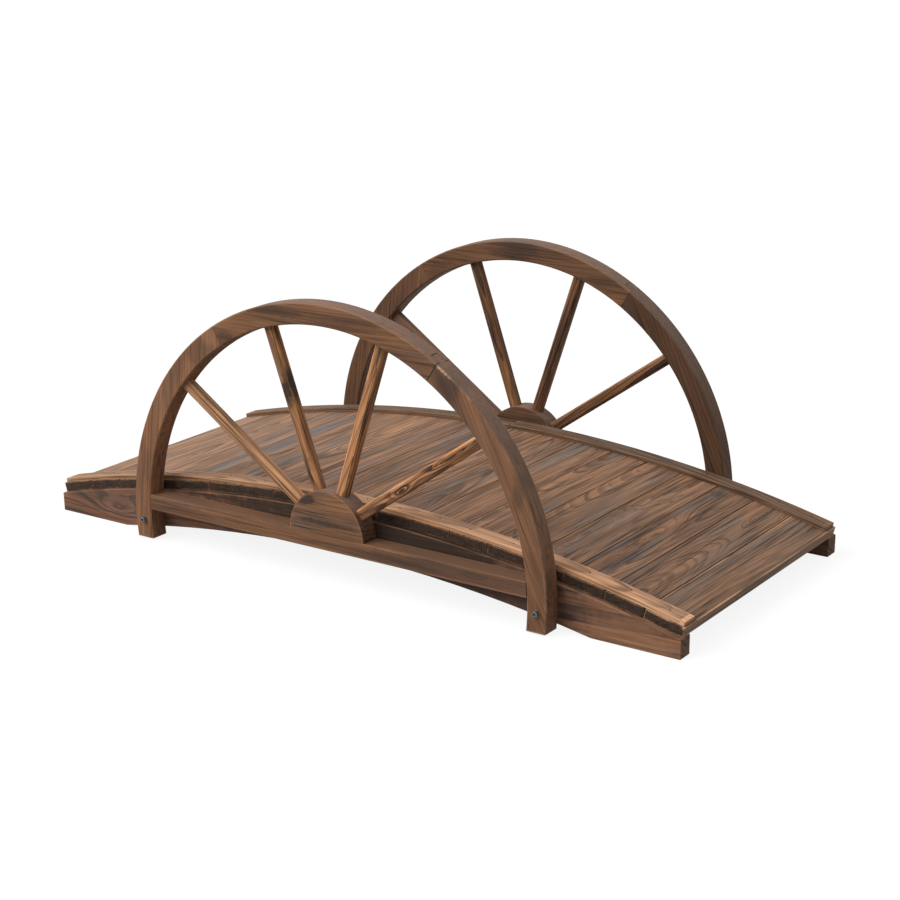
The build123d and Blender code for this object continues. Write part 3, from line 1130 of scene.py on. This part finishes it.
def add_nails():
    """Nail heads along the edge strips, one to each board."""
    for place_name in STRIPS:
        name = "strip_" + place_name
        radius = strip_radius(name)
        low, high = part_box(name)
        y_middle = (low.y + high.y) / 2
        dice = random.Random("nails " + name)
        side_numbers = range(1, BOARD_COUNT // 2 + 1)
        if place_name.endswith("right"):
            side_numbers = range(BOARD_COUNT // 2 + 1, BOARD_COUNT + 1)
        shape = bmesh.new()
        for number in side_numbers:
            aim = board_outward(f"board_{number:02d}")
            run = Vector((aim.z, 0, -aim.x))
            y = y_middle + dice.uniform(-NAIL_SCATTER_ACROSS, NAIL_SCATTER_ACROSS)
            spot = Vector((0, y, DECK_CENTRE_Z)) + aim * radius
            spot += run * dice.uniform(-NAIL_SCATTER_ALONG, NAIL_SCATTER_ALONG)
            spot.z = DECK_CENTRE_Z + (radius**2 - spot.x**2) ** 0.5
            made = bmesh.ops.create_cone(
                shape, cap_ends=True, segments=NAIL_STEPS, radius1=NAIL_RADIUS,
                radius2=NAIL_RADIUS * NAIL_TAPER, depth=2 * NAIL_HEIGHT,
            )
            lay = aim.to_track_quat("Z", "Y").to_matrix().to_4x4()
            bmesh.ops.transform(shape, matrix=Matrix.Translation(spot) @ lay, verts=made["verts"])
        mesh = bpy.data.meshes.new("nails_" + place_name)
        shape.to_mesh(mesh)
        shape.free()
        mesh.materials.append(BLACK_STEEL)
        nails = bpy.data.objects.new("nails_" + place_name, mesh)
        SCENE.collection.objects.link(nails)
        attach(nails, "root")


def make_camera():
    """Camera at the photograph's viewing angle."""
    level = Vector((-sin(CAMERA_YAW), cos(CAMERA_YAW), 0))
    right = Vector((cos(CAMERA_YAW), sin(CAMERA_YAW), 0))
    forward = level * cos(CAMERA_PITCH) - Z_AXIS * sin(CAMERA_PITCH)
    down = forward.cross(right)
    rolled_right = right * cos(CAMERA_ROLL) + down * sin(CAMERA_ROLL)
    rolled_down = down * cos(CAMERA_ROLL) - right * sin(CAMERA_ROLL)
    data = bpy.data.cameras.new("camera")
    data.sensor_width = SENSOR_WIDTH
    data.lens = FOCAL_PIXELS / IMAGE_SIDE * SENSOR_WIDTH
    data.shift_x = -CENTRE_RIGHT_PIXELS / IMAGE_SIDE
    data.shift_y = CENTRE_DOWN_PIXELS / IMAGE_SIDE
    data.dof.use_dof = False
    camera = bpy.data.objects.new("camera", data)
    axes = Matrix((rolled_right, -rolled_down, -forward)).transposed().to_4x4()
    place = CAMERA_TARGET - forward * CAMERA_DISTANCE
    camera.matrix_world = Matrix.Translation(place) @ axes
    SCENE.collection.objects.link(camera)
    SCENE.camera = camera


def add_sun(name, towards, strength, spread):
    """Sun that stands in the given direction."""
    data = bpy.data.lights.new(name, "SUN")
    data.energy = strength
    data.angle = spread
    sun = bpy.data.objects.new(name, data)
    sun.rotation_mode = "QUATERNION"
    sun.rotation_quaternion = towards.to_track_quat("Z", "Y")
    SCENE.collection.objects.link(sun)


def by_view(g, lighting, seen):
    """Shader that lights the bridge one way and looks another, to the camera and in steel."""
    path = g.node("LightPath").outputs
    mirrored = g.math("MAXIMUM", path["Is Glossy Ray"], path["Is Transmission Ray"])
    seen_share = g.math("MAXIMUM", path["Is Camera Ray"], mirrored)
    mixed = g.node("MixShader")
    g.put_all(mixed, {0: seen_share, 1: lighting.outputs[0], 2: seen.outputs[0]})
    return mixed.outputs[0]


def make_light():
    """Soft suns and an even world that looks white to the camera."""
    add_sun("key", KEY_TOWARDS, KEY_STRENGTH, KEY_SPREAD)
    add_sun("top", TOP_TOWARDS, TOP_STRENGTH, TOP_SPREAD)

    world = bpy.data.worlds.new("studio")
    world.use_nodes = True
    g = Graph(world.node_tree)
    fill = world.node_tree.nodes["Background"]
    g.put_all(fill, {"Color": WHITE, "Strength": FILL_STRENGTH})
    seen = g.node("Background")
    g.put(seen.inputs["Color"], WHITE)
    g.put(world.node_tree.nodes["World Output"].inputs[0], by_view(g, fill, seen))
    SCENE.world = world


def matt_shader(g, grey):
    """Matt surface of an even grey."""
    made = g.node("BsdfDiffuse")
    g.put(made.inputs["Color"], (grey, grey, grey, 1))
    return made


def make_floor():
    """Whitish floor that keeps the soft shadow."""
    mesh = bpy.data.meshes.new("floor")
    shape = bmesh.new()
    bmesh.ops.create_circle(shape, cap_ends=True, segments=FLOOR_STEPS, radius=FLOOR_RADIUS)
    shape.to_mesh(mesh)
    shape.free()
    floor = bpy.data.objects.new("floor", mesh)
    SCENE.collection.objects.link(floor)

    material = bpy.data.materials.new("floor")
    material.use_nodes = True
    tree = material.node_tree
    tree.nodes.clear()
    g = Graph(tree)
    glow = g.node("Emission")
    g.put(glow.inputs["Strength"], FLOOR_GLOW)
    seen = g.node("AddShader")
    g.put_all(seen, {0: matt_shader(g, FLOOR_SHADOW).outputs[0], 1: glow.outputs[0]})
    surface = by_view(g, matt_shader(g, FLOOR_COLOUR), seen)
    g.put(g.node("OutputMaterial").inputs[0], surface)
    mesh.materials.append(material)


finish_boards()
finish_strips()
for side, side_shade in SIDE_SHADES.items():
    finish_side(side, side_shade)
add_bolts()
add_nails()
make_camera()
make_light()
make_floor()
SCENE.view_settings.view_transform = "Standard"
